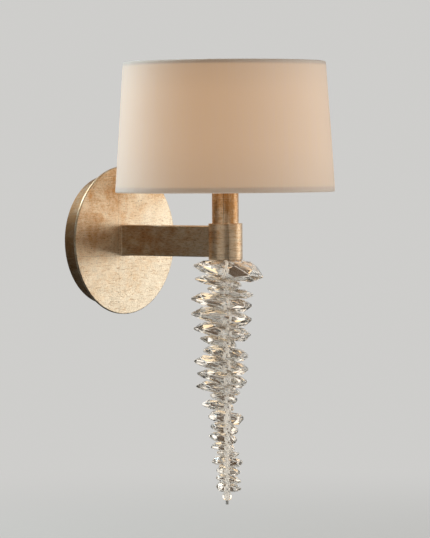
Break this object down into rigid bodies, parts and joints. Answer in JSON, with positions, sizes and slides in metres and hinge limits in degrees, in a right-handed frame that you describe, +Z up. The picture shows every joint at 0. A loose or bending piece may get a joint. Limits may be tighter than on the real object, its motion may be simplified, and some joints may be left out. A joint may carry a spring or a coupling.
{
  "type": "crystal wall sconce",
  "caption": "Wall sconce: round leafed backplate, flat bar arm, tapered fabric drum shade on a short post, and a string of cut crystals hanging below the arm's end.",
  "frame": {"origin": "middle of the backplate on the wall plane", "axes": "+Z up, +Y into the wall, -Y the way the lamp stands out from the wall, +X to the right seen from the front"},
  "size_m": [0.2286, 0.2778, 0.46],
  "materials": {
    "leafed_metal": "antiqued champagne gold leaf over brown, worn at the edges",
    "zinc_steel": "bright zinc plate",
    "green_screw": "green earth screw",
    "white_plastic": "moulded nylon",
    "brass": "plain drawn brass",
    "black_phenolic": "moulded phenolic",
    "bulb_aluminium": "rolled thread",
    "bulb_glass": "soft white frosted glass",
    "bulb_stem": "clear stem with fine wires",
    "shade_fabric": "off-white fine weave, hardback",
    "shade_lining": "white styrene lining",
    "white_wire": "white painted wire",
    "rod_steel": "polished nickel",
    "crystal": "clear cut crystal"
  },
  "bodies": {
    "fixture": {"crossbar": "zinc_steel", "ground_screw": "green_screw", "pan_screws": "leafed_metal", "back_pan": "leafed_metal", "front_plate": "leafed_metal", "arm_bar": "leafed_metal", "arm_end_plug": "zinc_steel", "arm_nipple": "zinc_steel", "lock_washer": "zinc_steel", "arm_locknut": "zinc_steel", "nipple_bushing": "white_plastic", "collar": "leafed_metal", "post": "leafed_metal", "post_nipple": "zinc_steel", "post_cap": "zinc_steel", "socket_cap": "brass", "socket_body": "black_phenolic", "screw_shell": "brass", "centre_contact": "brass"},
    "bulb": {"bulb_cap": "bulb_aluminium", "bulb_glass": "bulb_glass", "bulb_insulator": "black_phenolic", "filament_stem": "bulb_stem"},
    "ring_nut": {"shade_ring_nut": "black_phenolic"},
    "shade": {"shade_fabric": "shade_fabric", "shade_lining": "shade_lining", "shade_top_ring": "white_wire", "shade_bottom_ring": "white_wire", "shade_fitter": "white_wire"},
    "drop": {"hanging_rod": "rod_steel", "crystal_01": "crystal", "crystal_02": "crystal", "crystal_03": "crystal", "crystal_04": "crystal", "crystal_05": "crystal", "crystal_06": "crystal", "crystal_07": "crystal", "crystal_08": "crystal", "crystal_09": "crystal", "crystal_10": "crystal", "crystal_11": "crystal", "crystal_12": "crystal", "crystal_13": "crystal", "crystal_14": "crystal", "crystal_15": "crystal", "crystal_16": "crystal", "crystal_17": "crystal", "crystal_18": "crystal", "crystal_19": "crystal", "crystal_20": "crystal", "crystal_21": "crystal", "crystal_22": "crystal", "end_ball": "crystal"},
    "tip": {"tip_nut": "rod_steel"}
  },
  "joints": [
    {"name": "bulb_lift", "type": "slide", "parent": "fixture", "child": "bulb", "axis": [0, 0, 1], "range_m": [0, 0.025]},
    {"name": "ring_nut_turn", "type": "hinge", "parent": "fixture", "child": "ring_nut", "pos_m": [0, -0.1635, 0.092], "axis": [0, 0, 1], "continuous": true},
    {"name": "shade_turn", "type": "hinge", "parent": "fixture", "child": "shade", "pos_m": [0, -0.1635, 0.088], "axis": [0, 0, 1], "continuous": true},
    {"name": "drop_turn", "type": "hinge", "parent": "fixture", "child": "drop", "pos_m": [0, -0.1635, -0.019], "axis": [0, 0, 1], "continuous": true},
    {"name": "tip_nut_turn", "type": "hinge", "parent": "drop", "child": "tip", "pos_m": [0, -0.1635, -0.272], "axis": [0, 0, 1], "continuous": true}
  ]
}
